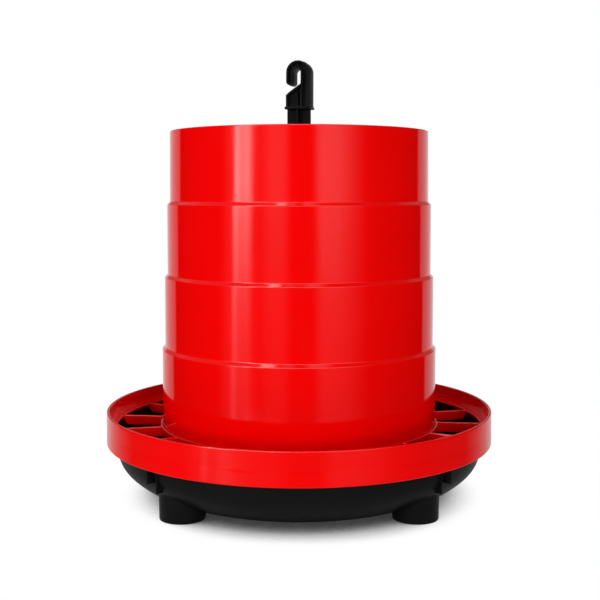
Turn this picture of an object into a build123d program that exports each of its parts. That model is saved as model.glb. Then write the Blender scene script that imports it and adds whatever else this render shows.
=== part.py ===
from build123d import *

import os
from math import cos, radians, sin, tan

# Tube feeder for poultry. A hopper of four stepped tiers stands in a spoked grid ring, the ring sits on
# a round feed pan with four feet, and a rod of cross section rises through the middle to a hanging hook.
# Millimetres. The floor is z = 0, the Z axis is the axis of the hopper, and -Y is the front.

os.makedirs("parts", exist_ok=True)

# Heights of the main seats
band_bottom = 51.6
grid_top = 68.0
band_top = 82.7
hopper_foot = 58.5
hopper_rim = 352.8

# Grid ring
band_radius = 190.0
band_flare = 0.4
band_wall = 2.5
band_lip_round = 1.0
ledge_radius = 180.0
ledge_thickness = 2.5
cup_wall = 2.0
cup_ledge_width = 6.0
cup_ledge_thickness = 2.5
spoke_count = 18
spoke_start_angle = 14.0
spoke_thickness = 2.4
spoke_depth = 9.5
spoke_corner_radius = 6.0
spoke_bite = 1.0
spoke_setback = 0.5
cup_lip_round = 0.8
snap_count = 8
snap_start_angle = 22.5
snap_length = 14.0
snap_height = 4.5
snap_reach = 2.2

# Hopper
hopper_rim_radius = 125.5
hopper_wall = 2.2
tier_drafts = (0.6, 0.25, 0.25, 0.3)
top_tier_height = 66.9
tier_pitch = 70.2
tier_steps = 3
step_run = 2.8
step_rise = 3.2
hopper_round = 1.0

# Pan
pan_wall = 2.5
pan_floor_gap = 3.0
bowl_radius = 78.0
bowl_angle = 44.0
heel_radius = 30.0
heel_angle = 35.6
rim_flange_width = 3.0
cone_foot_radius = 96.0
cone_top_radius = 24.0
cone_top = 62.0
boss_radius = 15.0
boss_height = 9.0

# Feet and guides of the pan, on its diagonals
foot_angle = 45.0
foot_circle_radius = 149.8
foot_radius = 21.0
foot_draft = 0.5
foot_wall = 2.5
guide_gap = 3.7
fin_thickness = 2.1
fin_bottom = 38.0
rib_thickness = 1.8
rib_radius = 181.3
rib_bottom = 29.0

# Rod
rod_turn = -15.0
blade_width = 23.2
blade_thickness = 2.4
cross_width = 15.0
cross_thickness = 1.7
rod_foot_radius = 17.0
rod_foot_thickness = 3.0
tenon_width = 10.0
tenon_depth = 7.0
tenon_height = 16.5

# Hanging hook
hook_bottom = 374.8
mouth_thickness = 2.5
mouth_width = 24.9
mouth_offset = 0.45
mouth_depth = 19.0
hook_width = 22.6
hook_depth = 18.0
hook_draft = 2.5
shoulder_rise = 13.5
shoulder_chamfer = 2.6
throat_angle = 35.0
arch_rise = 34.8
arch_radius = 11.8
arch_offset = 0.8
eye_radius = 3.5
eye_offset = -0.1
tip_length = 12.2
hook_edge = 2.4
web_thickness = 10.4
arch_rib_angles = (90.0, 135.0)
arch_rib_thickness = 0.9
window_width = 1.7
window_height = 14.0
window_offset = 1.15
window_lift = 1.0

# Fits
slip_fit = 0.4
rod_fit = 0.3
snap_fit = 0.3
rim_gap = 1.1


# Side line of the hopper from rim to foot, moved inwards by inset
def tier_outline(inset):
    radius = hopper_rim_radius - inset
    height = hopper_rim
    points = [(radius, height)]
    for step in range(tier_steps):
        step_top = hopper_rim - top_tier_height - step * tier_pitch
        radius += (height - step_top) * tan(radians(tier_drafts[step]))
        points.append((radius, step_top))
        radius += step_run
        height = step_top - step_rise
        points.append((radius, height))
    radius += (height - hopper_foot) * tan(radians(tier_drafts[-1]))
    points.append((radius, hopper_foot))
    return points


# Sizes that follow from the values above
ledge_bottom = grid_top - ledge_thickness
spoke_bottom = grid_top - spoke_depth
spoke_tip_radius = ledge_radius - spoke_setback
band_inner_radius = band_radius - band_wall
hopper_foot_radius = tier_outline(0.0)[-1][0]
cup_inner_radius = hopper_foot_radius + slip_fit
cup_radius = cup_inner_radius + cup_wall
rim_underside = ledge_bottom - pan_wall
snap_top = rim_underside - snap_fit
rim_radius = band_inner_radius - rim_gap
wall_top_radius = rim_radius - rim_flange_width
wall_lean = 90.0 - bowl_angle - heel_angle
heel_angle_end = radians(bowl_angle + heel_angle)
bowl_run = bowl_radius * sin(radians(bowl_angle))
bowl_rise = bowl_radius * (1 - cos(radians(bowl_angle)))
heel_run = heel_radius * (sin(heel_angle_end) - sin(radians(bowl_angle)))
heel_rise = heel_radius * (cos(radians(bowl_angle)) - cos(heel_angle_end))
heel_top = pan_floor_gap + bowl_rise + heel_rise
wall_run = (rim_underside - heel_top) * tan(radians(wall_lean))
pan_flat_radius = wall_top_radius - wall_run - heel_run - bowl_run
cone_underside = cone_top - pan_wall
shoulder_height = hook_bottom + shoulder_rise
arch_height = hook_bottom + arch_rise
tip_bottom = arch_height - tip_length


# Hopper: an open drum, each tier a little wider than the one above it
with BuildPart() as hopper:
    with BuildSketch(Plane.XZ):
        with BuildLine():
            Polyline(*tier_outline(0.0), *reversed(tier_outline(hopper_wall)), close=True)
        hopper_face = make_face()
        upper_corners = hopper_face.vertices().group_by(Axis.Y)[1:]
        fillet([corner for level in upper_corners for corner in level], radius=hopper_round)
    revolve(axis=Axis.Z)
hopper.part.label = "hopper"
export_step(hopper.part, "parts/hopper.step")


# Grid ring: an outer band with a ledge inside it, a cup for the foot of the hopper, and radial spokes
with BuildPart() as grid_ring:
    with BuildSketch(Plane.XZ):
        with BuildLine():
            Polyline(
                (band_radius + band_flare, band_bottom),
                (band_radius, band_top),
                (band_inner_radius, band_top),
                (band_inner_radius, grid_top),
                (ledge_radius, grid_top),
                (ledge_radius, ledge_bottom),
                (band_inner_radius, ledge_bottom),
                (band_inner_radius + band_flare, band_bottom),
                close=True,
            )
        band_face = make_face()
        band_levels = band_face.vertices().group_by(Axis.Y)
        fillet(band_levels[0] + band_levels[-1], radius=band_lip_round)
    with BuildSketch(Plane.XZ):
        with BuildLine():
            Polyline(
                (cup_radius, grid_top),
                (cup_radius, hopper_foot - cup_ledge_thickness),
                (cup_inner_radius - cup_ledge_width, hopper_foot - cup_ledge_thickness),
                (cup_inner_radius - cup_ledge_width, hopper_foot),
                (cup_inner_radius, hopper_foot),
                (cup_inner_radius, grid_top),
                close=True,
            )
        cup_face = make_face()
        fillet(cup_face.vertices().group_by(Axis.Y)[-1], radius=cup_lip_round)
    revolve(axis=Axis.Z)

    # Each spoke is a deep fin whose lower outer corner is rounded up to the ledge
    for spoke in range(spoke_count):
        spoke_plane = Plane.XZ.rotated((0, 0, spoke_start_angle + spoke * 360 / spoke_count))
        with BuildSketch(spoke_plane):
            with BuildLine():
                top = Line((ledge_radius + spoke_bite, grid_top), (cup_radius - spoke_bite, grid_top))
                root = Line(top @ 1, (cup_radius - spoke_bite, spoke_bottom))
                under = Line(root @ 1, (spoke_tip_radius - spoke_corner_radius, spoke_bottom))
                corner = JernArc(
                    start=under @ 1, tangent=(1, 0), radius=spoke_corner_radius, arc_size=90
                )
                tip = Polyline(
                    corner @ 1, (spoke_tip_radius, ledge_bottom), (ledge_radius + spoke_bite, ledge_bottom)
                )
                Line(tip @ 1, top @ 0)
            make_face()
        extrude(amount=spoke_thickness / 2, both=True)

    # Snap lugs inside the band catch under the rim of the pan
    for snap in range(snap_count):
        snap_plane = Plane.XZ.rotated((0, 0, snap_start_angle + snap * 360 / snap_count))
        with BuildSketch(snap_plane):
            with BuildLine():
                Polyline(
                    (band_inner_radius + band_wall / 2, snap_top),
                    (band_inner_radius - snap_reach, snap_top),
                    (band_inner_radius + band_wall / 2, snap_top - snap_height),
                    close=True,
                )
            make_face()
        extrude(amount=snap_length / 2, both=True)
grid_ring.part.label = "grid_ring"
export_step(grid_ring.part, "parts/grid_ring.step")


# Pan: one moulding of floor, feed cone, bowl wall, rim, feet and the guides for the band
def pan_underside():
    top = Line((0, cone_underside), (cone_top_radius, cone_underside))
    slope = Line(top @ 1, (cone_foot_radius, pan_floor_gap))
    flat = Line(slope @ 1, (pan_flat_radius, pan_floor_gap))
    bowl = JernArc(start=flat @ 1, tangent=flat % 1, radius=bowl_radius, arc_size=bowl_angle)
    heel = JernArc(start=bowl @ 1, tangent=bowl % 1, radius=heel_radius, arc_size=heel_angle)
    return Line(heel @ 1, (wall_top_radius, rim_underside))


with BuildPart() as pan:
    # A foot and its guides, repeated on the four diagonals by the two mirror planes of the pan
    with BuildSketch(Plane.XY):
        with PolarLocations(foot_circle_radius, 1, start_angle=foot_angle):
            Circle(foot_radius)
    extrude(amount=rib_bottom, taper=-foot_draft)
    with BuildSketch(Plane.XY):
        with PolarLocations(foot_circle_radius, 1, start_angle=foot_angle):
            Circle(foot_radius - foot_wall)
    extrude(amount=rib_bottom, mode=Mode.SUBTRACT)
    fin_plane = Plane.XZ.rotated((0, 0, foot_angle)).offset((guide_gap + fin_thickness) / 2)
    with BuildSketch(fin_plane):
        with BuildLine():
            Polyline(
                (foot_circle_radius, fin_bottom),
                (band_inner_radius - slip_fit, fin_bottom),
                (band_inner_radius - slip_fit, rim_underside),
                (foot_circle_radius, rim_underside),
                close=True,
            )
        make_face()
    extrude(amount=fin_thickness / 2, both=True)
    rib_plane = Plane.XZ.rotated((0, 0, foot_angle)).offset(-(guide_gap + rib_thickness) / 2)
    with BuildSketch(rib_plane):
        with BuildLine():
            Polyline(
                (foot_circle_radius, rib_bottom),
                (rib_radius, rib_bottom),
                (rib_radius, rim_underside),
                (foot_circle_radius, rim_underside),
                close=True,
            )
        make_face()
    extrude(amount=rib_thickness / 2, both=True)
    mirror(about=Plane.XZ)
    mirror(about=Plane.YZ)

    # What reaches into the bowl is cut away before the shell is added
    with BuildSketch(Plane.XZ):
        with BuildLine():
            wall = pan_underside()
            Polyline(wall @ 1, (wall_top_radius, band_top), (0, band_top), (0, cone_underside))
        make_face()
    revolve(axis=Axis.Z, mode=Mode.SUBTRACT)

    with BuildSketch(Plane.XZ):
        with BuildLine():
            wall = pan_underside()
            Line(wall @ 1, (rim_radius, rim_underside))
            offset(amount=pan_wall, kind=Kind.INTERSECTION, side=Side.LEFT)
        make_face()
    revolve(axis=Axis.Z)
    with BuildSketch(Plane.XY.offset(cone_underside)):
        Circle(boss_radius)
    extrude(amount=pan_wall + boss_height)
    with BuildSketch(Plane.XY.offset(cone_underside).rotated((0, 0, rod_turn))):
        Rectangle(blade_width + 2 * rod_fit, blade_thickness + 2 * rod_fit)
        Rectangle(cross_thickness + 2 * rod_fit, cross_width + 2 * rod_fit)
    extrude(amount=pan_wall + boss_height, mode=Mode.SUBTRACT)
pan.part.label = "pan"
export_step(pan.part, "parts/pan.step")


# Rod: a blade with a cross rib on each face, a round foot under the cone and a tenon for the hook
with BuildPart() as center_rod:
    with BuildSketch(Plane.XY.offset(cone_underside)):
        Circle(rod_foot_radius)
    extrude(amount=-rod_foot_thickness)
    with BuildSketch(Plane.XY.offset(cone_underside).rotated((0, 0, rod_turn))):
        Rectangle(blade_width, blade_thickness)
        Rectangle(cross_thickness, cross_width)
    extrude(amount=hook_bottom - cone_underside)
    with BuildSketch(Plane.XY.offset(hook_bottom).rotated((0, 0, rod_turn))):
        Rectangle(tenon_width, blade_thickness)
        Rectangle(cross_thickness, tenon_depth)
    extrude(amount=tenon_height)
center_rod.part.label = "center_rod"
export_step(center_rod.part, "parts/center_rod.step")


# Hanging hook: an arch over an open eye, on a block whose mouth plate sits on the end of the rod
with BuildPart() as hanging_hook:
    hook_plane = Plane.XZ.rotated((0, 0, rod_turn))
    with BuildSketch(hook_plane) as outline:
        with BuildLine():
            left = -hook_width / 2
            right = arch_offset + arch_radius
            eye_left = eye_offset - eye_radius
            eye_right = eye_offset + eye_radius
            tip_left = arch_offset - arch_radius
            tip_radius = (eye_left - tip_left) / 2
            throat_start = shoulder_height + shoulder_chamfer
            throat_end = throat_start + (eye_right - left - shoulder_chamfer) * tan(radians(throat_angle))
            base = Polyline(
                (right, arch_height),
                (right, hook_bottom),
                (left, hook_bottom),
                (left, shoulder_height),
                (left + shoulder_chamfer, throat_start),
                (eye_right, throat_end),
                (eye_right, arch_height),
            )
            eye = JernArc(start=base @ 1, tangent=(0, 1), radius=eye_radius, arc_size=180)
            inner = Line(eye @ 1, (eye_left, tip_bottom + tip_radius))
            tip = JernArc(start=inner @ 1, tangent=(0, -1), radius=tip_radius, arc_size=-180)
            outer = Line(tip @ 1, (tip_left, arch_height))
            JernArc(start=outer @ 1, tangent=(0, 1), radius=arch_radius, arc_size=-180)
        make_face()
    extrude(amount=hook_depth / 2, both=True, taper=hook_draft)

    # Both faces are cored out behind a rim, down to the web
    with BuildSketch(hook_plane):
        add(outline.sketch)
        offset(amount=-hook_edge, kind=Kind.INTERSECTION, mode=Mode.REPLACE)
        with Locations((eye_right + hook_edge / 2, (hook_bottom + throat_end) / 2)):
            Rectangle(hook_edge / 2, throat_end - hook_bottom, mode=Mode.SUBTRACT)
        for rib_angle in arch_rib_angles:
            with Locations((arch_offset, arch_height)):
                with PolarLocations((arch_radius + eye_radius) / 2, 1, start_angle=rib_angle):
                    Rectangle(arch_radius, arch_rib_thickness, mode=Mode.SUBTRACT)
    extrude(amount=hook_depth, both=True, mode=Mode.SUBTRACT)
    with BuildSketch(hook_plane):
        add(outline.sketch)
        offset(amount=-hook_edge / 2, mode=Mode.REPLACE)
    extrude(amount=web_thickness / 2, both=True)
    with BuildSketch(Plane.XY.offset(hook_bottom).rotated((0, 0, rod_turn))):
        with Locations((mouth_offset, 0)):
            Rectangle(mouth_width, mouth_depth)
    extrude(amount=mouth_thickness)
    with BuildSketch(Plane.XY.offset(hook_bottom).rotated((0, 0, rod_turn))):
        Rectangle(tenon_width + 2 * rod_fit, blade_thickness + 2 * rod_fit)
        Rectangle(cross_thickness + 2 * rod_fit, tenon_depth + 2 * rod_fit)
    extrude(amount=tenon_height + rod_fit, mode=Mode.SUBTRACT)
    with BuildSketch(hook_plane):
        with Locations((window_offset, hook_bottom + mouth_thickness + window_lift + window_height / 2)):
            Rectangle(window_width, window_height)
    extrude(amount=hook_depth, both=True, mode=Mode.SUBTRACT)
hanging_hook.part.label = "hanging_hook"
export_step(hanging_hook.part, "parts/hanging_hook.step")
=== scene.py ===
from math import cos, pi, radians, sin, sqrt, tan

import bmesh
import bpy
from mathutils import Matrix, Vector


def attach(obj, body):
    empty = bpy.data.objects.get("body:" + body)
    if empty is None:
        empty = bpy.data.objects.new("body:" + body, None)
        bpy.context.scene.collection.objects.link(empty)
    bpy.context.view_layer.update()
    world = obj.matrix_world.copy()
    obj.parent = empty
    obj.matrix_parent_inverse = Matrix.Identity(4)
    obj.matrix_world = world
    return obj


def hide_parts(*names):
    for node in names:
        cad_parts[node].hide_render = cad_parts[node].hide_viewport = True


# Poultry tube feeder: glossy red hopper and grid ring on a black feed pan, with a rod and a hanging hook.
# The frame is in metres; sizes in the dictionaries of the pieces are in millimetres, as on a drawing.

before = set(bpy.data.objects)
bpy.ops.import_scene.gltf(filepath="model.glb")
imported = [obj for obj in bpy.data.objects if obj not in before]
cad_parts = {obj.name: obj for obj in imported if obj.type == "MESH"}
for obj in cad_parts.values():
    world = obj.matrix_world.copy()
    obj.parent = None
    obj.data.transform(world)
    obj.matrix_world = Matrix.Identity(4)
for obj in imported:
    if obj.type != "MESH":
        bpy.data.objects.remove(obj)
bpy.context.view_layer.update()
print("frame loaded:", sorted(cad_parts))

mm = 0.001
scene = bpy.context.scene


# Helpers for nodes and colours

def hexColour(text):  # sRGB hex text to linear light
    channels = [int(text[i:i + 2], 16) / 255 for i in (1, 3, 5)]
    return tuple(c / 12.92 if c <= 0.04045 else ((c + 0.055) / 1.055) ** 2.4 for c in channels) + (1.0,)


def addNode(tree, kind, settings=None, links=None):
    node = tree.nodes.new(kind)
    for name, value in (settings or {}).items():
        setattr(node, name, value)
    for socket, source in (links or {}).items():
        if isinstance(source, bpy.types.NodeSocket):
            tree.links.new(source, node.inputs[socket])
        else:
            node.inputs[socket].default_value = source
    return node


def calculate(tree, operation, *values):
    return addNode(tree, "ShaderNodeMath", {"operation": operation}, dict(enumerate(values))).outputs[0]


def smoothStep(tree, value, start, end, low=0.0, high=1.0):
    return addNode(tree, "ShaderNodeMapRange", {"interpolation_type": "SMOOTHSTEP"}, {
        "Value": value, "From Min": start, "From Max": end, "To Min": low, "To Max": high}).outputs[0]


def mixValues(tree, share, first, second):
    return addNode(tree, "ShaderNodeMix", {"data_type": "FLOAT"}, {0: share, 2: first, 3: second}).outputs[0]


def newMaterial(name):
    material = bpy.data.materials.new(name)
    material.use_nodes = True
    material.node_tree.nodes.clear()
    return material, material.node_tree


def newTree(name, inputs):
    tree = bpy.data.node_groups.new(name, "GeometryNodeTree")
    tree.interface.new_socket(name="Geometry", in_out="INPUT", socket_type="NodeSocketGeometry")
    for label, kind in inputs:
        tree.interface.new_socket(name=label, in_out="INPUT", socket_type=kind)
    tree.interface.new_socket(name="Geometry", in_out="OUTPUT", socket_type="NodeSocketGeometry")
    return tree, tree.nodes.new("NodeGroupInput"), tree.nodes.new("NodeGroupOutput")


def closeTree(tree, geometry, groupIn, groupOut):  # makes copies real and gives them their material
    plain = addNode(tree, "GeometryNodeRealizeInstances", {}, {0: geometry})
    dressed = addNode(tree, "GeometryNodeSetMaterial", {}, {
        0: plain.outputs[0], "Material": groupIn.outputs["Material"]})
    tree.links.new(dressed.outputs[0], groupOut.inputs[0])


# Helpers for meshes

def meshFrom(name, points, edges, faces):
    mesh = bpy.data.meshes.new(name)
    mesh.from_pydata([tuple(c * mm for c in p) for p in points], edges, faces)
    mesh.update()
    return mesh


def meshOf(work, name):  # turns a bmesh into a mesh and frees it
    mesh = bpy.data.meshes.new(name)
    work.to_mesh(mesh)
    work.free()
    return mesh


def runTree(name, mesh, tree, values):  # applies a geometry nodes tree and gives back a plain mesh
    source = bpy.data.objects.new(name + "Source", mesh)
    scene.collection.objects.link(source)
    modifier = source.modifiers.new(tree.name, "NODES")
    modifier.node_group = tree
    for item in tree.interface.items_tree:
        if item.in_out == "INPUT" and item.name in values:
            modifier[item.identifier] = values[item.name]
    source.update_tag()
    graph = bpy.context.evaluated_depsgraph_get()
    graph.update()
    result = bpy.data.meshes.new_from_object(source.evaluated_get(graph))
    source.modifiers.remove(modifier)
    bpy.data.objects.remove(source)
    return result


def mergeMeshes(name, meshes):
    work = bmesh.new()
    for mesh in meshes:
        work.from_mesh(mesh)
    for mesh in meshes:
        bpy.data.meshes.remove(mesh)
    return meshOf(work, name)


def closeUp(mesh, distance=0.00001):
    # merges doubles nearer than distance, in metres, then turns all faces outwards
    work = bmesh.new()
    work.from_mesh(mesh)
    bmesh.ops.remove_doubles(work, verts=work.verts, dist=distance)
    bmesh.ops.recalc_face_normals(work, faces=work.faces)
    work.to_mesh(mesh)
    work.free()
    return mesh


def addLoop(work, outline, height):
    return [work.verts.new((x * mm, y * mm, height * mm)) for x, y in outline]


def bridgeLoops(work, lower, upper):
    count = len(lower)
    for i in range(count):
        j = (i + 1) % count
        work.faces.new((lower[i], lower[j], upper[j], upper[i]))


def finishPiece(name, mesh, material, node, sharpAngle=32):
    mesh.name = name
    mesh.materials.clear()
    mesh.materials.append(material)
    for face in mesh.polygons:
        face.material_index = 0
        face.use_smooth = True
    mesh.set_sharp_from_angle(angle=radians(sharpAngle))
    piece = bpy.data.objects.new(name, mesh)
    scene.collection.objects.link(piece)
    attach(piece, "root")
    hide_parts(node)
    print("piece", name, len(mesh.polygons), "faces")
    return piece


def roundedOutline(corners, steps=6, guard=0.4, straightWithin=0.002):
    # corners are (radius, height, round); each round becomes an arc, with a guard point on the run beside it
    outline = []
    count = len(corners)
    for index in range(count):
        here = Vector(corners[index][:2])
        before = Vector(corners[index - 1][:2])
        after = Vector(corners[(index + 1) % count][:2])
        size = corners[index][2]
        inward = (before - here).normalized()
        onward = (after - here).normalized()
        angle = inward.angle(onward)
        if size <= 0 or angle > pi - straightWithin:
            outline.append(here)
            continue
        reach = size / tan(angle / 2)
        centre = here + (inward + onward).normalized() * (size / sin(angle / 2))
        start = here + inward * reach
        end = here + onward * reach
        if (before - here).length > reach + 3 * guard:
            outline.append(start + inward * guard)
        a, b = start - centre, end - centre
        turn = a.angle_signed(b)
        for step in range(steps + 1):
            outline.append(centre + Matrix.Rotation(-turn * step / steps, 2) @ a)
        if (after - here).length > reach + 3 * guard:
            outline.append(end + onward * guard)
    return [(p.x, p.y) for p in outline]


# Geometry nodes trees

# Turned body: sweeps a closed outline (radius along X, height along -Y) once round the axis
turnedTree, groupIn, groupOut = newTree("turnedBody", [
    ("Segments", "NodeSocketInt"), ("Radius", "NodeSocketFloat"), ("Material", "NodeSocketMaterial")])
outlineCurve = addNode(turnedTree, "GeometryNodeMeshToCurve", {}, {0: groupIn.outputs["Geometry"]})
axisCircle = addNode(turnedTree, "GeometryNodeCurvePrimitiveCircle", {}, {
    "Resolution": groupIn.outputs["Segments"], "Radius": groupIn.outputs["Radius"]})
swept = addNode(turnedTree, "GeometryNodeCurveToMesh", {}, {
    0: axisCircle.outputs[0], 1: outlineCurve.outputs[0]})
closeTree(turnedTree, swept.outputs[0], groupIn, groupOut)

# Ring of ribs: repeats one rib round the axis, from a start angle
ringTree, groupIn, groupOut = newTree("ringOfRibs", [
    ("Count", "NodeSocketInt"), ("Start Angle", "NodeSocketFloat"), ("Material", "NodeSocketMaterial")])
places = addNode(ringTree, "GeometryNodeMeshLine", {}, {
    "Count": groupIn.outputs["Count"], "Offset": (0.0, 0.0, 0.0)})
number = addNode(ringTree, "GeometryNodeInputIndex")
pitch = calculate(ringTree, "DIVIDE", 2 * pi, groupIn.outputs["Count"])
turn = calculate(ringTree, "MULTIPLY_ADD", number.outputs[0], pitch, groupIn.outputs["Start Angle"])
spin = addNode(ringTree, "ShaderNodeCombineXYZ", {}, {"Z": turn})
copies = addNode(ringTree, "GeometryNodeInstanceOnPoints", {}, {
    "Points": places.outputs[0], "Instance": groupIn.outputs["Geometry"], "Rotation": spin.outputs[0]})
closeTree(ringTree, copies.outputs[0], groupIn, groupOut)


def turnedMesh(name, outline, segments, material):
    radius = 100.0  # any circle will do: the outline is measured from it
    points = [(r - radius, -h, 0.0) for r, h in outline]
    edges = [(i, (i + 1) % len(points)) for i in range(len(points))]
    mesh = runTree(name, meshFrom(name, points, edges, []), turnedTree, {
        "Segments": segments, "Radius": radius * mm, "Material": material})
    return closeUp(mesh)


def ringMesh(name, rib, count, startAngle, material):
    return runTree(name, rib, ringTree, {
        "Count": count, "Start Angle": radians(startAngle), "Material": material})


# Materials

noiseLow, noiseHigh = 0.3, 0.7  # most values of a noise texture lie between these


def mouldedPlastic(name, look):
    material, tree = newMaterial(name)
    place = addNode(tree, "ShaderNodeTexCoord")
    shader = addNode(tree, "ShaderNodeBsdfPrincipled", {}, {
        "IOR": look["ior"], "Metallic": 0.0, "Specular IOR Level": look["specular"]})
    addNode(tree, "ShaderNodeOutputMaterial", {}, {"Surface": shader.outputs[0]})

    # pigment clouds, left where the melt flowed
    clouds = addNode(tree, "ShaderNodeTexNoise", {}, {
        "Vector": place.outputs["Object"], "Scale": 1000 / look["cloudSize"],
        "Detail": 3.0, "Roughness": 0.5})
    tint = addNode(tree, "ShaderNodeMix", {"data_type": "RGBA"}, {
        "Factor": clouds.outputs["Fac"], 6: hexColour(look["deep"]), 7: hexColour(look["light"])})
    tree.links.new(tint.outputs[2], shader.inputs["Base Color"])

    # gloss differs a little from place to place, as the tool's polish does
    patches = addNode(tree, "ShaderNodeTexNoise", {}, {
        "Vector": place.outputs["Object"], "Scale": 1000 / look["patchSize"],
        "Detail": 4.0, "Roughness": 0.6})
    gloss = addNode(tree, "ShaderNodeMapRange", {}, {
        "Value": patches.outputs["Fac"], "From Min": noiseLow, "From Max": noiseHigh,
        "To Min": look["roughness"] - look["roughnessSpread"],
        "To Max": look["roughness"] + look["roughnessSpread"]})
    tree.links.new(gloss.outputs[0], shader.inputs["Roughness"])

    # shrink waves bend the reflections, and a fine grain dulls them
    stretch = addNode(tree, "ShaderNodeMapping", {}, {
        "Vector": place.outputs["Object"], "Scale": look["waveStretch"]})
    waves = addNode(tree, "ShaderNodeTexNoise", {}, {
        "Vector": stretch.outputs[0], "Scale": 1000 / look["waveSize"], "Detail": 1.0, "Roughness": 0.4})
    grain = addNode(tree, "ShaderNodeTexNoise", {}, {
        "Vector": place.outputs["Object"], "Scale": 1000 / look["grainSize"], "Detail": 2.0})
    waveBump = addNode(tree, "ShaderNodeBump", {}, {
        "Strength": 1.0, "Distance": look["waveHeight"] * mm, "Height": waves.outputs["Fac"]})
    grainBump = addNode(tree, "ShaderNodeBump", {}, {
        "Strength": 1.0, "Distance": look["grainHeight"] * mm, "Height": grain.outputs["Fac"],
        "Normal": waveBump.outputs[0]})
    tree.links.new(grainBump.outputs[0], shader.inputs["Normal"])
    return material


# Polypropylene, injection-moulded in a polished tool: clear reflections that waver a little
glossyRedPolypropylene = mouldedPlastic("glossyRedPolypropylene", {
    "deep": "#E80000", "light": "#F20202", "cloudSize": 90.0,
    "roughness": 0.085, "roughnessSpread": 0.015, "patchSize": 25.0,
    "waveStretch": (1.0, 1.0, 0.55), "waveSize": 38.0, "waveHeight": 0.06,
    "grainSize": 1.2, "grainHeight": 0.0012,
    "ior": 1.49, "specular": 0.5})

# Polypropylene with carbon black, moulded in a satin tool: broad soft sheen and a fine grain
satinBlackPolypropylene = mouldedPlastic("satinBlackPolypropylene", {
    "deep": "#101010", "light": "#141414", "cloudSize": 60.0,
    "roughness": 0.32, "roughnessSpread": 0.05, "patchSize": 14.0,
    "waveStretch": (1.0, 1.0, 1.0), "waveSize": 30.0, "waveHeight": 0.05,
    "grainSize": 0.7, "grainHeight": 0.004,
    "ior": 1.49, "specular": 0.09})

# The same black polypropylene from a spark-eroded tool, on the rod and the hook: nearly matt, deep black
mattBlackPolypropylene = mouldedPlastic("mattBlackPolypropylene", {
    "deep": "#101010", "light": "#151515", "cloudSize": 40.0,
    "roughness": 0.38, "roughnessSpread": 0.05, "patchSize": 9.0,
    "waveStretch": (1.0, 1.0, 1.0), "waveSize": 20.0, "waveHeight": 0.03,
    "grainSize": 0.6, "grainHeight": 0.006,
    "ior": 1.49, "specular": 0.045})
print("materials made")


# Hopper

hopperSizes = {
    "rimRadius": 125.5, "rimHeight": 352.8, "footHeight": 58.5, "wall": 2.2,
    "drafts": (0.6, 0.25, 0.25, 0.3),  # degrees, from the top tier down
    "topTier": 66.9, "tierPitch": 70.2, "steps": 3, "stepRun": 2.8, "stepRise": 3.2,
    "cornerRound": 1.0, "footRound": 0.4, "segments": 360,
}


def tierCorners(inset):
    s = hopperSizes
    drops = [tan(radians(draft)) for draft in s["drafts"]]
    radius, height = s["rimRadius"] - inset, s["rimHeight"]
    corners = [(radius, height, s["cornerRound"])]
    for index in range(s["steps"]):
        stepTop = s["rimHeight"] - s["topTier"] - index * s["tierPitch"]
        radius += (height - stepTop) * drops[index]
        corners.append((radius, stepTop, s["cornerRound"]))
        radius += s["stepRun"]
        height = stepTop - s["stepRise"]
        corners.append((radius, height, s["cornerRound"]))
    radius += (height - s["footHeight"]) * drops[-1]
    corners.append((radius, s["footHeight"], s["footRound"]))
    return corners


hopperOutline = roundedOutline(tierCorners(0.0) + tierCorners(hopperSizes["wall"])[::-1])
hopperMesh = turnedMesh("hopper", hopperOutline, hopperSizes["segments"], glossyRedPolypropylene)
hopperFootRadius = tierCorners(0.0)[-1][0]
finishPiece("steppedHopper", hopperMesh, glossyRedPolypropylene, "hopper")


# Grid ring: band with a ledge inside it, cup for the hopper, spokes between them, snap lugs

ringSizes = {
    "bandRadius": 190.0, "bandFlare": 0.4, "bandBottom": 51.6, "bandTop": 82.7, "bandWall": 2.5,
    "lipRound": 1.0, "bandCorner": 0.25, "sinkDepth": 0.10, "sinkReach": 4.0,
    "gridTop": 68.0, "ledgeRadius": 180.0, "ledgeThickness": 2.5,
    "ledgeRound": 0.6, "ledgeUnderRound": 0.4, "ledgeRootRound": 0.5,
    "slipFit": 0.4, "cupWall": 2.0, "cupLipRound": 0.8, "cupHeelRound": 0.6, "cupSeatRound": 0.3,
    "cupLedgeWidth": 6.0, "cupLedgeThickness": 2.5, "cupLedgeRound": 0.5,
    "segments": 360,
    "spokeCount": 18, "spokeStart": 14.0, "spokeThickness": 2.4, "spokeDepth": 9.5, "spokeCorner": 6.0,
    "spokeBite": 1.0, "spokeSetback": 0.5, "spokeRound": 0.7, "rootRound": 1.4, "plainFrom": 4.0,
    "snapCount": 8, "snapStart": 22.5, "snapLength": 14.0, "snapHeight": 4.5, "snapReach": 2.2,
    "snapBite": 1.2, "snapNose": 0.6, "snapFit": 0.3,
}
bandInner = ringSizes["bandRadius"] - ringSizes["bandWall"]
ledgeUnderside = ringSizes["gridTop"] - ringSizes["ledgeThickness"]
cupInner = hopperFootRadius + ringSizes["slipFit"]
cupOuter = cupInner + ringSizes["cupWall"]


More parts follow.
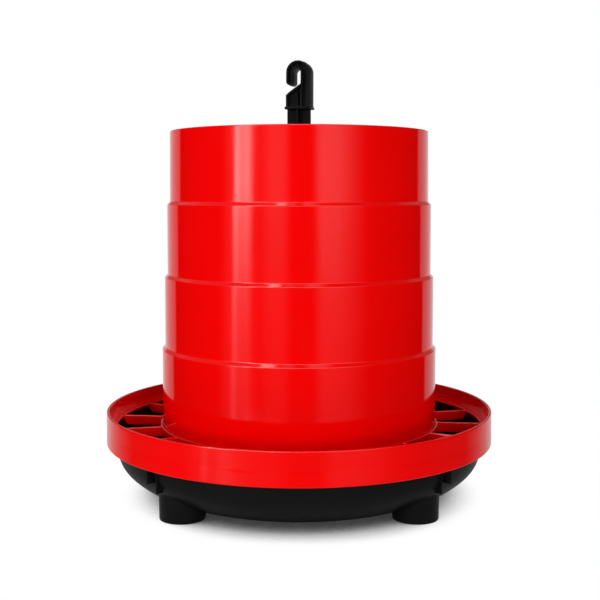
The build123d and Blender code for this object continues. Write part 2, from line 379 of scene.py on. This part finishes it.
def bandOutline():
    s = ringSizes
    sinkMiddle = s["gridTop"] - s["ledgeThickness"] / 2

    def face(height):  # radius of the leaning outer face
        share = (s["bandTop"] - height) / (s["bandTop"] - s["bandBottom"])
        return s["bandRadius"] + s["bandFlare"] * share

    corners = [(face(s["bandBottom"]), s["bandBottom"], s["lipRound"])]
    for part in (-1.0, -0.5, 0.0, 0.5, 1.0):  # shallow sink mark behind the ledge
        height = sinkMiddle + part * s["sinkReach"]
        corners.append((face(height) - s["sinkDepth"] * (0.5 + 0.5 * cos(pi * part)), height, 0.0))
    corners += [
        (s["bandRadius"], s["bandTop"], s["lipRound"]),
        (bandInner, s["bandTop"], s["lipRound"]),
        (bandInner, s["gridTop"], s["bandCorner"]),
        (s["ledgeRadius"], s["gridTop"], s["ledgeRound"]),
        (s["ledgeRadius"], ledgeUnderside, s["ledgeUnderRound"]),
        (bandInner, ledgeUnderside, s["ledgeRootRound"]),
        (bandInner + s["bandFlare"], s["bandBottom"], s["lipRound"]),
    ]
    return roundedOutline(corners)


def cupOutline():
    s = ringSizes
    seat = hopperSizes["footHeight"]
    ledgeEdge, ledgeBottom = cupInner - s["cupLedgeWidth"], seat - s["cupLedgeThickness"]
    return roundedOutline([
        (cupOuter, ledgeBottom, s["cupHeelRound"]),
        (cupOuter, s["gridTop"], s["cupLipRound"]),
        (cupInner, s["gridTop"], s["cupLipRound"]),
        (cupInner, seat, s["cupSeatRound"]),
        (ledgeEdge, seat, s["cupLedgeRound"]),
        (ledgeEdge, ledgeBottom, s["cupLedgeRound"]),
    ])


def spokeMesh():
    s = ringSizes
    top, bottom = s["gridTop"], s["gridTop"] - s["spokeDepth"]
    start, end = cupOuter - s["spokeBite"], s["ledgeRadius"] + s["spokeBite"]
    tip = s["ledgeRadius"] - s["spokeSetback"]
    cornerStart = tip - s["spokeCorner"]

    def flare(gap):  # the root swells where a spoke runs into the cup or the ledge
        r = s["rootRound"]
        return 0.0 if gap >= r else r - sqrt(max(0.0, r * r - (r - max(gap, 0.0)) ** 2))

    def lowEdge(x):  # rounded lower corner at the outer end
        if x <= cornerStart:
            return bottom
        if x >= tip:
            return ledgeUnderside
        drop = (x - cornerStart) / s["spokeCorner"]
        return bottom + s["spokeCorner"] * (1 - sqrt(max(0.0, 1 - drop * drop)))

    stations = [start, cupOuter]
    stations += [cupOuter + s["rootRound"] * share for share in (0.08, 0.25, 0.5, 1.0)]
    plainRun = cornerStart - cupOuter - s["plainFrom"]
    stations += [cupOuter + s["plainFrom"] + plainRun * share / 4 for share in range(5)]
    stations += [cornerStart + s["spokeCorner"] * sin(radians(a)) for a in (15, 30, 45, 60, 75, 90)]
    stations += [s["ledgeRadius"], end]
    points, faces = [], []
    for x in stations:
        half = s["spokeThickness"] / 2 + flare(x - cupOuter) + flare(s["ledgeRadius"] - x)
        section = [(-half, lowEdge(x))]
        for angle in (180, 150, 120, 90):
            section.append((-half + s["spokeRound"] * (1 + cos(radians(angle))),
                            top - s["spokeRound"] * (1 - sin(radians(angle)))))
        section += [(-y, z) for y, z in reversed(section)]
        points += [(x, y, z) for y, z in section]
    size = len(section)
    for index in range(len(stations) - 1):
        for side in range(size):
            a, b = index * size + side, index * size + (side + 1) % size
            faces.append((a, b, b + size, a + size))
    faces.append(tuple(range(size)))
    faces.append(tuple(reversed(range(len(points) - size, len(points)))))
    return closeUp(meshFrom("spoke", points, [], faces), distance=0.000001)


def snapMesh():
    s = ringSizes
    root, reach = bandInner + s["snapBite"], bandInner - s["snapReach"]
    top = s["gridTop"] - 2 * s["ledgeThickness"] - s["snapFit"]
    half = s["snapLength"] / 2
    section = [(root, top), (reach, top), (reach, top - s["snapNose"]), (root, top - s["snapHeight"])]
    points = [(x, y, z) for y in (-half, half) for x, z in section]
    faces = [(0, 1, 2, 3), (7, 6, 5, 4)] + [(i, (i + 1) % 4, (i + 1) % 4 + 4, i + 4) for i in range(4)]
    return closeUp(meshFrom("snap", points, [], faces))


gridMesh = mergeMeshes("gridRing", [
    turnedMesh("band", bandOutline(), ringSizes["segments"], glossyRedPolypropylene),
    turnedMesh("cup", cupOutline(), ringSizes["segments"], glossyRedPolypropylene),
    ringMesh("spokes", spokeMesh(), ringSizes["spokeCount"], ringSizes["spokeStart"], glossyRedPolypropylene),
    ringMesh("snaps", snapMesh(), ringSizes["snapCount"], ringSizes["snapStart"], glossyRedPolypropylene),
])
finishPiece("gridRing", gridMesh, glossyRedPolypropylene, "grid_ring")


# Feed pan: bowl with a cone and a boss in it, four hollow feet, four pairs of fin and rib

panSizes = {
    "wall": 2.5, "floorGap": 3.0, "flatShares": (0.35, 0.7), "segments": 288,
    "bowlRadius": 78.0, "bowlAngle": 44.0, "bowlSteps": 24,
    "heelRadius": 30.0, "heelAngle": 35.6, "heelSteps": 18,
    "flangeWidth": 3.0, "rimGap": 1.1, "rimRound": 0.5, "rimInnerRound": 0.8,
    "coneFoot": 96.0, "coneTop": 24.0, "coneHeight": 62.0, "coneRound": 3.0,
    "bossRadius": 15.0, "bossHeight": 9.0, "bossEdge": 0.8, "bossBite": 0.5, "bossSegments": 72,
    "footCircle": 149.8, "footRadius": 21.0, "footDraft": 0.5, "footWall": 2.5, "footSegments": 96,
    "footEdge": 0.6, "footHeight": 20.0, "rootFlare": 1.6, "rootSink": 0.15, "rootDepth": 1.2,
    "guideGap": 3.7, "guideEdge": 0.25, "guideEdgeSegments": 2, "slipFit": 0.4,
    "finThickness": 2.1, "finBottom": 38.0, "finFoot": 178.2, "finHead": 182.3, "finBite": 0.5,
    "ribThickness": 1.8, "ribRadius": 181.3, "ribBottom": 29.0, "ribTop": 55.0,
    "ribFoot": 172.8, "ribWaist": 177.8, "ribHead": 180.4,
}
panRimUnderside = ledgeUnderside - panSizes["wall"]


def panPath(offset):
    # the pan's wall line from the cone's foot to the rim, moved inwards by offset
    s = panSizes
    bowl, heel = radians(s["bowlAngle"]), radians(s["bowlAngle"] + s["heelAngle"])
    rim = bandInner - s["rimGap"] - s["flangeWidth"]
    heelRise = s["bowlRadius"] * (1 - cos(bowl)) + s["heelRadius"] * (cos(bowl) - cos(heel))
    heelTop = s["floorGap"] + heelRise
    lean = pi / 2 - heel
    flat = (rim - (panRimUnderside - heelTop) * tan(lean)
            - s["heelRadius"] * (sin(heel) - sin(bowl)) - s["bowlRadius"] * sin(bowl))
    bowlCentre = (flat, s["floorGap"] + s["bowlRadius"])
    heelCentre = (flat + (s["bowlRadius"] - s["heelRadius"]) * sin(bowl),
                  bowlCentre[1] - (s["bowlRadius"] - s["heelRadius"]) * cos(bowl))
    path = [(flat * share + s["coneFoot"] * (1 - share), s["floorGap"] + offset) for share in s["flatShares"]]
    for index in range(s["bowlSteps"] + 1):
        angle = bowl * index / s["bowlSteps"]
        path.append((bowlCentre[0] + (s["bowlRadius"] - offset) * sin(angle),
                     bowlCentre[1] - (s["bowlRadius"] - offset) * cos(angle)))
    for index in range(1, s["heelSteps"] + 1):
        angle = bowl + (heel - bowl) * index / s["heelSteps"]
        path.append((heelCentre[0] + (s["heelRadius"] - offset) * sin(angle),
                     heelCentre[1] - (s["heelRadius"] - offset) * cos(angle)))
    return path, rim, lean


def bowlHeight(radius, offset):  # height of the wall line at a radius
    path = panPath(offset)[0]
    for (r0, z0), (r1, z1) in zip(path, path[1:]):
        if r0 <= radius <= r1:
            return z0 + (z1 - z0) * (radius - r0) / (r1 - r0)
    return path[0][1] if radius < path[0][0] else path[-1][1]


def panOutline():
    s = panSizes
    under, rim, lean = panPath(0.0)
    inside = panPath(s["wall"])[0]
    flangeTop = panRimUnderside + s["wall"]
    flangeEdge = bandInner - s["rimGap"]
    slope = (s["coneHeight"] - s["wall"] - s["floorGap"]) / (s["coneFoot"] - s["coneTop"])
    lift = s["wall"] * sqrt(1 + slope * slope)  # wall thickness measured straight up through the cone
    hole = s["bossRadius"] - s["bossBite"]
    innerRim = inside[-1][0] + (flangeTop - inside[-1][1]) * tan(lean)
    innerFoot = s["coneFoot"] + (lift - s["wall"]) / slope
    innerTop = s["coneTop"] + (lift - s["wall"]) / slope
    corners = [
        (hole, s["coneHeight"] - s["wall"], 0.0),
        (s["coneTop"], s["coneHeight"] - s["wall"], s["coneRound"]),
        (s["coneFoot"], s["floorGap"], s["coneRound"]),
    ]
    corners += [(r, z, 0.0) for r, z in under]
    corners += [
        (rim, panRimUnderside, s["rimRound"]),
        (flangeEdge, panRimUnderside, s["rimRound"]),
        (flangeEdge, flangeTop, s["rimRound"]),
        (innerRim, flangeTop, s["rimInnerRound"]),
    ]
    corners += [(r, z, 0.0) for r, z in reversed(inside)]
    corners += [
        (innerFoot, s["floorGap"] + s["wall"], s["coneRound"]),
        (innerTop, s["coneHeight"], s["coneRound"]),
        (hole, s["coneHeight"], 0.0),
    ]
    return roundedOutline(corners)


# The rod's sizes come before the boss, which takes its slot from them
rodSizes = {
    "turn": -15.0, "width": 23.2, "thickness": 2.4, "crossWidth": 15.0, "crossThickness": 1.7, "fit": 0.3,
    "footRadius": 17.0, "footThickness": 3.0, "footHole": 0.6, "footRound": 0.8, "footTopRound": 0.4,
    "footSegments": 96, "top": 374.8, "tenonWidth": 10.0, "tenonDepth": 7.0, "tenonHeight": 16.5,
    "stretches": 6, "edge": 0.35, "edgeSegments": 3, "sharpAngle": 40.0,
}


def crossSection(width, crossWidth, grow=0.0):  # blade with a rib across it, turned as the rod stands
    s = rodSizes
    w, t = width / 2 + grow, s["thickness"] / 2 + grow
    c, k = crossWidth / 2 + grow, s["crossThickness"] / 2 + grow
    outline = [(w, -t), (w, t), (k, t), (k, c), (-k, c), (-k, t),
               (-w, t), (-w, -t), (-k, -t), (-k, -c), (k, -c), (k, -t)]
    cosine, sine = cos(radians(s["turn"])), sin(radians(s["turn"]))
    return [(x * cosine - y * sine, x * sine + y * cosine) for x, y in outline]


def bossMesh():
    # the boss on the cone, with a slot in it for the rod
    s = panSizes
    low, high = s["coneHeight"] - s["wall"], s["coneHeight"] + s["bossHeight"]
    turns = [2 * pi * i / s["bossSegments"] for i in range(s["bossSegments"])]
    lipShare = 1 - s["bossEdge"] / s["bossRadius"]
    rim = [(s["bossRadius"] * cos(a), s["bossRadius"] * sin(a)) for a in turns]
    lip = [(x * lipShare, y * lipShare) for x, y in rim]
    slot = crossSection(rodSizes["width"], rodSizes["crossWidth"], rodSizes["fit"])
    work = bmesh.new()
    rimLow, rimHigh = addLoop(work, rim, low), addLoop(work, rim, high - s["bossEdge"])
    lipLoop = addLoop(work, lip, high)
    slotHigh, slotLow = addLoop(work, slot, high), addLoop(work, slot, low)
    for lower, upper in ((rimLow, rimHigh), (rimHigh, lipLoop), (slotHigh, slotLow)):
        bridgeLoops(work, lower, upper)
    for loops in ((lipLoop, slotHigh), (rimLow, slotLow)):  # top and bottom, each with the slot in it
        edges = []
        for loop in loops:
            for i in range(len(loop)):
                pair = (loop[i], loop[(i + 1) % len(loop)])
                edges.append(work.edges.get(pair) or work.edges.new(pair))
        bmesh.ops.triangle_fill(work, use_beauty=True, edges=edges)
    return closeUp(meshOf(work, "boss"))


def footMesh(angle):
    # hollow foot, open below, whose walls end inside the wall of the bowl
    s = panSizes
    centre = (s["footCircle"] * cos(radians(angle)), s["footCircle"] * sin(radians(angle)))
    count = s["footSegments"]
    outer, edge, flare = s["footRadius"], s["footEdge"], s["rootFlare"]
    inner = outer - s["footWall"]
    draft = tan(radians(s["footDraft"]))
    rootRadius = outer + s["footHeight"] * draft

    def circle(radius):
        turns = [2 * pi * i / count for i in range(count)]
        return [(centre[0] + radius * cos(a), centre[1] + radius * sin(a)) for a in turns]

    def flatRing(radius, height):
        return [(x, y, height) for x, y in circle(radius)]

    def bowlRing(radius, drop):  # follows the underside of the bowl, lower by drop
        return [(x, y, bowlHeight(sqrt(x * x + y * y), 0.0) - drop) for x, y in circle(radius)]

    rings = [bowlRing(inner, -s["rootDepth"]), flatRing(inner, edge)]
    rings += [flatRing(inner + edge * (1 - cos(radians(a))), edge * (1 - sin(radians(a)))) for a in (45, 90)]
    rings += [flatRing(outer - edge * (1 - sin(radians(a))), edge * (1 - cos(radians(a)))) for a in (0, 45)]
    rings += [flatRing(outer + edge * draft, edge), bowlRing(rootRadius, flare)]
    for a in (20, 40, 60, 80):  # the root swells into the bowl
        spread, drop = flare * (1 - cos(radians(a))), flare * (1 - sin(radians(a)))
        rings.append(bowlRing(rootRadius + spread, drop - s["rootSink"]))
    rings += [bowlRing(rootRadius + flare, -s["rootDepth"])]
    points = [point for ring in rings for point in ring]
    faces = []
    for index in range(len(rings)):  # the last ring joins the first one inside the wall of the bowl
        a, b = index * count, (index + 1) % len(rings) * count
        for i in range(count):
            j = (i + 1) % count
            faces.append((a + i, a + j, b + j, b + i))
    return closeUp(meshFrom("foot", points, [], faces))


def guideMesh(angle, side):
    # fin and rib that guide the band; side is +1 or -1 for the two mirror images
    s = panSizes
    finEdge, finTop = bandInner - s["slipFit"], panRimUnderside + s["finBite"]
    fin = [(s["finFoot"], s["finBottom"]), (finEdge, s["finBottom"]),
           (finEdge, finTop), (s["finHead"], finTop)]
    rib = [(s["ribFoot"], s["ribBottom"]), (s["ribRadius"], s["ribBottom"]), (s["ribRadius"], s["ribTop"]),
           (s["ribHead"], s["ribTop"]), (s["ribWaist"], s["finBottom"])]
    cosine, sine = cos(radians(angle)), sin(radians(angle))
    work = bmesh.new()
    for outline, thickness, across in (
            (fin, s["finThickness"], -side * (s["guideGap"] + s["finThickness"]) / 2),
            (rib, s["ribThickness"], side * (s["guideGap"] + s["ribThickness"]) / 2)):
        rows = []
        for t in (across - thickness / 2, across + thickness / 2):
            rows.append([work.verts.new(((r * cosine - t * sine) * mm, (r * sine + t * cosine) * mm, z * mm))
                         for r, z in outline])
        work.faces.new(rows[0])
        work.faces.new(rows[1][::-1])
        bridgeLoops(work, rows[0], rows[1])
    bmesh.ops.recalc_face_normals(work, faces=work.faces)
    bmesh.ops.bevel(work, geom=work.edges, offset=s["guideEdge"] * mm, segments=s["guideEdgeSegments"],
                    affect="EDGES", profile=0.5)
    return meshOf(work, "guide")


panParts = [turnedMesh("bowl", panOutline(), panSizes["segments"], satinBlackPolypropylene), bossMesh()]
for quarter, side in ((45, 1), (135, -1), (225, 1), (315, -1)):
    panParts += [footMesh(quarter), guideMesh(quarter, side)]
finishPiece("feedPan", mergeMeshes("feedPan", panParts), satinBlackPolypropylene, "pan")


# Centre rod: blade with a cross rib, round foot under the cone, tenon for the hook

def rodMesh():
    s = rodSizes
    low = panSizes["coneHeight"] - panSizes["wall"]
    blade = crossSection(s["width"], s["crossWidth"])
    tenon = crossSection(s["tenonWidth"], s["tenonDepth"])
    work = bmesh.new()
    for outline, bottom, top, stretches in (
            (blade, low, s["top"], s["stretches"]), (tenon, s["top"], s["top"] + s["tenonHeight"], 1)):
        heights = [bottom + (top - bottom) * i / stretches for i in range(stretches + 1)]
        loops = [addLoop(work, outline, height) for height in heights]
        for lower, upper in zip(loops, loops[1:]):
            bridgeLoops(work, lower, upper)
        work.faces.new(loops[0][::-1])
        work.faces.new(loops[-1])
    steep = [e for e in work.edges if e.verts[0].co.z != e.verts[1].co.z and len(e.link_faces) == 2]
    upright = [e for e in steep if e.calc_face_angle() > radians(s["sharpAngle"])]
    bmesh.ops.bevel(work, geom=upright, offset=s["edge"] * mm, segments=s["edgeSegments"],
                    affect="EDGES", profile=0.5)
    return closeUp(meshOf(work, "rod"))


def rodFootMesh():
    s = rodSizes
    top = panSizes["coneHeight"] - panSizes["wall"]
    bottom = top - s["footThickness"]
    outline = roundedOutline([
        (s["footHole"], bottom, 0.0), (s["footRadius"], bottom, s["footRound"]),
        (s["footRadius"], top, s["footTopRound"]), (s["footHole"], top, 0.0)])
    return turnedMesh("rodFoot", outline, s["footSegments"], mattBlackPolypropylene)


finishPiece("centreRod", mergeMeshes("centreRod", [rodMesh(), rodFootMesh()]), mattBlackPolypropylene,
            "center_rod")


# Hanging hook: a copy of the CAD form, with its flat faces joined up and its sharp edges rounded

hookSizes = {"edgeRound": 0.45, "edgeSegments": 3, "sharpAngle": 28.0, "flatAngle": 0.5, "weldWithin": 0.005}


def hookMesh():
    s = hookSizes
    work = bmesh.new()
    work.from_mesh(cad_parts["hanging_hook"].data)
    bmesh.ops.remove_doubles(work, verts=work.verts, dist=s["weldWithin"] * mm)
    bmesh.ops.dissolve_limit(work, angle_limit=radians(s["flatAngle"]), use_dissolve_boundaries=False,
                             verts=work.verts, edges=work.edges)
    paired = [e for e in work.edges if len(e.link_faces) == 2]
    sharp = [e for e in paired if e.calc_face_angle() > radians(s["sharpAngle"])]
    bmesh.ops.bevel(work, geom=sharp, offset=s["edgeRound"] * mm, segments=s["edgeSegments"],
                    affect="EDGES", profile=0.5, clamp_overlap=True)
    return meshOf(work, "hook")


finishPiece("hangingHook", hookMesh(), mattBlackPolypropylene, "hanging_hook")


# Floor

# Radii and reaches are in metres. The paper fades into the white room between fadeFrom and radius, and
# sooner in reflections. Its shadow is painted shade in the paper's glow: what the object closes off of the
# room, looked for a little to the left and the back, so that it falls to the front and the right.
floorLook = {
    "colour": "#F4F4F4", "radius": 0.46, "segments": 128,
    "fadeFrom": 0.30, "glossFrom": 0.21, "glossTo": 0.29, "inGloss": 0.30,
    "shadeReach": 0.09, "shadeFrom": 0.04, "shadeTo": 0.41, "darkest": 0.035,
    "leanLeft": 0.05, "leanBack": 0.15, "shadeSamples": 16,
}


def paperMaterial():  # seamless background paper: no sheen at all
    s = floorLook
    material, tree = newMaterial("matteWhitePaper")
    place = addNode(tree, "ShaderNodeTexCoord")
    paths = addNode(tree, "ShaderNodeLightPath")
    inGloss = paths.outputs["Is Glossy Ray"]
    distance = addNode(tree, "ShaderNodeVectorMath", {"operation": "LENGTH"}, {0: place.outputs["Object"]})
    radius = distance.outputs["Value"]
    fadeSeen = smoothStep(tree, radius, s["fadeFrom"], s["radius"])
    fadeInGloss = smoothStep(tree, radius, s["glossFrom"], s["glossTo"])
    fade = mixValues(tree, inGloss, fadeSeen, fadeInGloss)
    looking = calculate(tree, "ADD", paths.outputs["Is Camera Ray"], inGloss)
    seen = addNode(tree, "ShaderNodeMath", {"operation": "ADD", "use_clamp": True}, {
        0: looking, 1: paths.outputs["Is Transmission Ray"]})
    openSide = addNode(tree, "ShaderNodeCombineXYZ", {}, {
        "X": -s["leanLeft"], "Y": s["leanBack"], "Z": 1.0})
    openness = addNode(tree, "ShaderNodeAmbientOcclusion", {"samples": s["shadeSamples"]}, {
        "Distance": s["shadeReach"], "Normal": openSide.outputs[0]})
    # painted shadow: the paper's glow is darkened where ambient occlusion finds the object close by
    shade = smoothStep(tree, openness.outputs["AO"], s["shadeFrom"], s["shadeTo"], s["darkest"])
    dimmed = addNode(tree, "ShaderNodeMapRange", {}, {
        "Value": inGloss, "To Min": 1.0, "To Max": s["inGloss"]})
    glow = calculate(tree, "MULTIPLY", shade, dimmed.outputs[0])
    paper = addNode(tree, "ShaderNodeBsdfDiffuse", {}, {"Color": hexColour(s["colour"])})
    shine = addNode(tree, "ShaderNodeEmission", {}, {"Color": (1, 1, 1, 1), "Strength": glow})
    lit = addNode(tree, "ShaderNodeMixShader", {}, {
        0: seen.outputs[0], 1: paper.outputs[0], 2: shine.outputs[0]})
    clear = addNode(tree, "ShaderNodeBsdfTransparent")
    blend = addNode(tree, "ShaderNodeMixShader", {}, {0: fade, 1: lit.outputs[0], 2: clear.outputs[0]})
    addNode(tree, "ShaderNodeOutputMaterial", {}, {"Surface": blend.outputs[0]})
    return material


work = bmesh.new()
bmesh.ops.create_circle(work, cap_ends=True, segments=floorLook["segments"], radius=floorLook["radius"])
floorMesh = meshOf(work, "studioFloor")
floorMesh.materials.append(paperMaterial())
studioFloor = bpy.data.objects.new("studioFloor", floorMesh)
scene.collection.objects.link(studioFloor)
print("floor laid")


# Studio

# The room is white to the camera and a plain grey to matt surfaces. What the gloss shows is a white sweep of
# paper behind the object, dim paper below it, a streaked soft panel on the left, one near the middle, one on
# the right and one above. Angles are in degrees, from the front (-Y) towards the right.
studio = {
    "ambient": {"down": 0.50, "level": 0.60, "up": 0.12,
                "downFrom": -0.3, "downTo": 0.0, "upFrom": 0.1, "upTo": 0.6},  # Z of the direction
    "sweep": {"from": 127.6, "soft": 0.7, "near": 0.36, "far": 1.05,
              "dimFrom": 5.5, "dimTo": 11.0, "dimmed": 0.30},
    "lowSweep": {"from": 112.0, "to": 148.0, "near": 0.05, "far": 0.62, "lowest": -12.7, "highest": -11.3},
    "lowPatch": {"from": -47.0, "to": -32.0, "softLeft": 4.0, "softRight": 14.0, "strength": 0.33},
    "panels": [
        {"from": -62.0, "to": -50.0, "softLeft": 9.0, "softRight": 6.0, "strength": 0.45, "fade": 20.0},
        {"from": -56.6, "to": -53.0, "softLeft": 1.6, "softRight": 1.6, "strength": 5.4, "fade": 5.2},
        {"from": -53.5, "to": -41.0, "softLeft": 1.6, "softRight": 3.5, "strength": 3.9, "fade": 4.4},
        {"from": -46.5, "to": -43.5, "softLeft": 1.5, "softRight": 1.5, "strength": 0.9, "fade": 3.0},
        {"from": -44.0, "to": -36.0, "softLeft": 4.0, "softRight": 7.0, "strength": 0.30, "fade": 20.0},
        {"from": -29.0, "to": -10.0, "softLeft": 8.0, "softRight": 5.0, "strength": 0.54, "fade": 9.0},
        {"from": 15.5, "to": 45.0, "softLeft": 5.5, "softRight": 17.0, "strength": 0.87, "fade": 9.0},
    ],
    "highPanel": {"from": 25.0, "to": 58.0, "soft": 6.0, "strength": 3.6,
                  "rightFrom": 0.0, "rightTo": 30.0, "rightShare": 0.30,
                  "sideFrom": 50.0, "sideTo": 80.0, "sideShare": 0.06},
    "fadeBelow": 1.5,
    "haze": 0.002,
}


def panelGlow(tree, angle, panel):  # soft at both ends
    rise = smoothStep(tree, angle, panel["from"] - panel["softLeft"], panel["from"] + panel["softLeft"],
                      0.0, panel["strength"])
    fall = smoothStep(tree, angle, panel["to"] - panel["softRight"], panel["to"] + panel["softRight"],
                      1.0, 0.0)
    return calculate(tree, "MULTIPLY", rise, fall)


def sweepGlow(tree, aside, elevation, angle):
    s, low = studio["sweep"], studio["lowSweep"]
    edge = smoothStep(tree, aside, s["from"] - s["soft"], s["from"] + s["soft"])
    slope = addNode(tree, "ShaderNodeMapRange", {}, {
        "Value": aside, "From Min": s["from"], "From Max": 180.0, "To Min": s["near"], "To Max": s["far"]})
    dimAbove = smoothStep(tree, elevation, s["dimFrom"], s["dimTo"], 1.0, s["dimmed"])
    bright = calculate(tree, "MULTIPLY", slope.outputs[0], dimAbove)
    upper = calculate(tree, "MULTIPLY", edge, bright)
    lower = addNode(tree, "ShaderNodeMapRange", {}, {
        "Value": aside, "From Min": low["from"], "From Max": low["to"],
        "To Min": low["near"], "To Max": low["far"]})
    lowLight = calculate(tree, "ADD", panelGlow(tree, angle, studio["lowPatch"]), lower.outputs[0])
    above = smoothStep(tree, elevation, low["lowest"], low["highest"])
    return mixValues(tree, above, lowLight, upper)


def highGlow(tree, aside, elevation, angle):
    # brighter on the left and faint at the sides; only rounded edges turn it to the camera
    s = studio["highPanel"]
    rise = smoothStep(tree, elevation, s["from"] - s["soft"], s["from"] + s["soft"], 0.0, s["strength"])
    fall = smoothStep(tree, elevation, s["to"] - s["soft"], s["to"] + s["soft"], 1.0, 0.0)
    atSides = smoothStep(tree, aside, s["sideFrom"], s["sideTo"], fall, s["sideShare"])
    atRight = smoothStep(tree, angle, s["rightFrom"], s["rightTo"], 1.0, s["rightShare"])
    level = calculate(tree, "MULTIPLY", rise, atSides)
    return calculate(tree, "MULTIPLY", level, atRight)


def makeRoom():
    world = bpy.data.worlds.new("studioRoom")
    scene.world = world
    world.use_nodes = True
    tree = world.node_tree
    tree.nodes.clear()
    place = addNode(tree, "ShaderNodeTexCoord")
    axes = addNode(tree, "ShaderNodeSeparateXYZ", {}, {0: place.outputs["Generated"]})
    paths = addNode(tree, "ShaderNodeLightPath")
    front = calculate(tree, "MULTIPLY", axes.outputs["Y"], -1.0)
    bearing = calculate(tree, "ARCTAN2", axes.outputs["X"], front)
    angle = calculate(tree, "MULTIPLY", bearing, 180 / pi)
    aside = calculate(tree, "ABSOLUTE", angle)
    rising = calculate(tree, "ARCSINE", axes.outputs["Z"])
    elevation = calculate(tree, "MULTIPLY", rising, 180 / pi)

    # what the gloss shows
    hazy = calculate(tree, "ADD", sweepGlow(tree, aside, elevation, angle), studio["haze"])
    total = calculate(tree, "ADD", highGlow(tree, aside, elevation, angle), hazy)
    lift = calculate(tree, "SUBTRACT", elevation, studio["fadeBelow"])
    below = calculate(tree, "MINIMUM", lift, 0.0)
    for panel in studio["panels"]:
        # panels hang above the floor, so they dim towards their lower ends
        depth = calculate(tree, "DIVIDE", below, panel["fade"])
        dim = calculate(tree, "EXPONENT", depth)
        total = calculate(tree, "MULTIPLY_ADD", panelGlow(tree, angle, panel), dim, total)

    # what lights the matt side of things
    s = studio["ambient"]
    fromBelow = smoothStep(tree, axes.outputs["Z"], s["downFrom"], s["downTo"], s["down"], s["level"])
    ambient = smoothStep(tree, axes.outputs["Z"], s["upFrom"], s["upTo"], fromBelow, s["up"])

    seen = addNode(tree, "ShaderNodeMath", {"operation": "ADD", "use_clamp": True}, {
        0: paths.outputs["Is Camera Ray"], 1: paths.outputs["Is Transmission Ray"]})
    unseen = mixValues(tree, paths.outputs["Is Glossy Ray"], ambient, total)
    strength = mixValues(tree, seen.outputs[0], unseen, 1.0)
    room = addNode(tree, "ShaderNodeBackground", {}, {"Color": (1, 1, 1, 1), "Strength": strength})
    addNode(tree, "ShaderNodeOutputWorld", {}, {"Surface": room.outputs[0]})


makeRoom()

# Places and sizes of the lamps are in metres; all of them aim at the middle of the object
aimHeight = 0.18
lamps = [
    {"name": "keyLeft", "bearing": -46.0, "height": 0.55, "distance": 2.2, "size": 1.0, "watts": 24.0},
    {"name": "fillRight", "bearing": 26.0, "height": 0.50, "distance": 2.2, "size": 1.0, "watts": 18.0},
    {"name": "top", "bearing": 0.0, "height": 2.4, "distance": 0.3, "size": 1.6, "watts": 10.0},
]
for lamp in lamps:
    light = bpy.data.lights.new(lamp["name"], "AREA")
    light.shape = "DISK"
    light.size = lamp["size"]
    light.energy = lamp["watts"]
    lampObject = bpy.data.objects.new(lamp["name"], light)
    bearing = radians(lamp["bearing"])
    lampObject.location = (lamp["distance"] * sin(bearing), -lamp["distance"] * cos(bearing), lamp["height"])
    aim = Vector((0, 0, aimHeight)) - lampObject.location
    lampObject.rotation_euler = aim.to_track_quat("-Z", "Y").to_euler()
    lampObject.visible_glossy = False  # the panels of the room are what the gloss shows
    scene.collection.objects.link(lampObject)
print("studio lit")


# Camera: places in metres, pitch in degrees below the horizon, lens and sensor in millimetres

cameraView = {
    "aside": 0.0009, "distance": 1.0125, "height": 0.2931, "pitch": 5.92, "lens": 61.42, "sensor": 36.0,
}

camera = bpy.data.objects.new("productCamera", bpy.data.cameras.new("productCamera"))
camera.data.lens = cameraView["lens"]
camera.data.sensor_width = cameraView["sensor"]
camera.data.sensor_fit = "HORIZONTAL"
camera.location = (cameraView["aside"], -cameraView["distance"], cameraView["height"])
camera.rotation_euler = (radians(90 - cameraView["pitch"]), 0, 0)
scene.collection.objects.link(camera)
scene.camera = camera
scene.view_settings.view_transform = "Standard"
print("camera set")
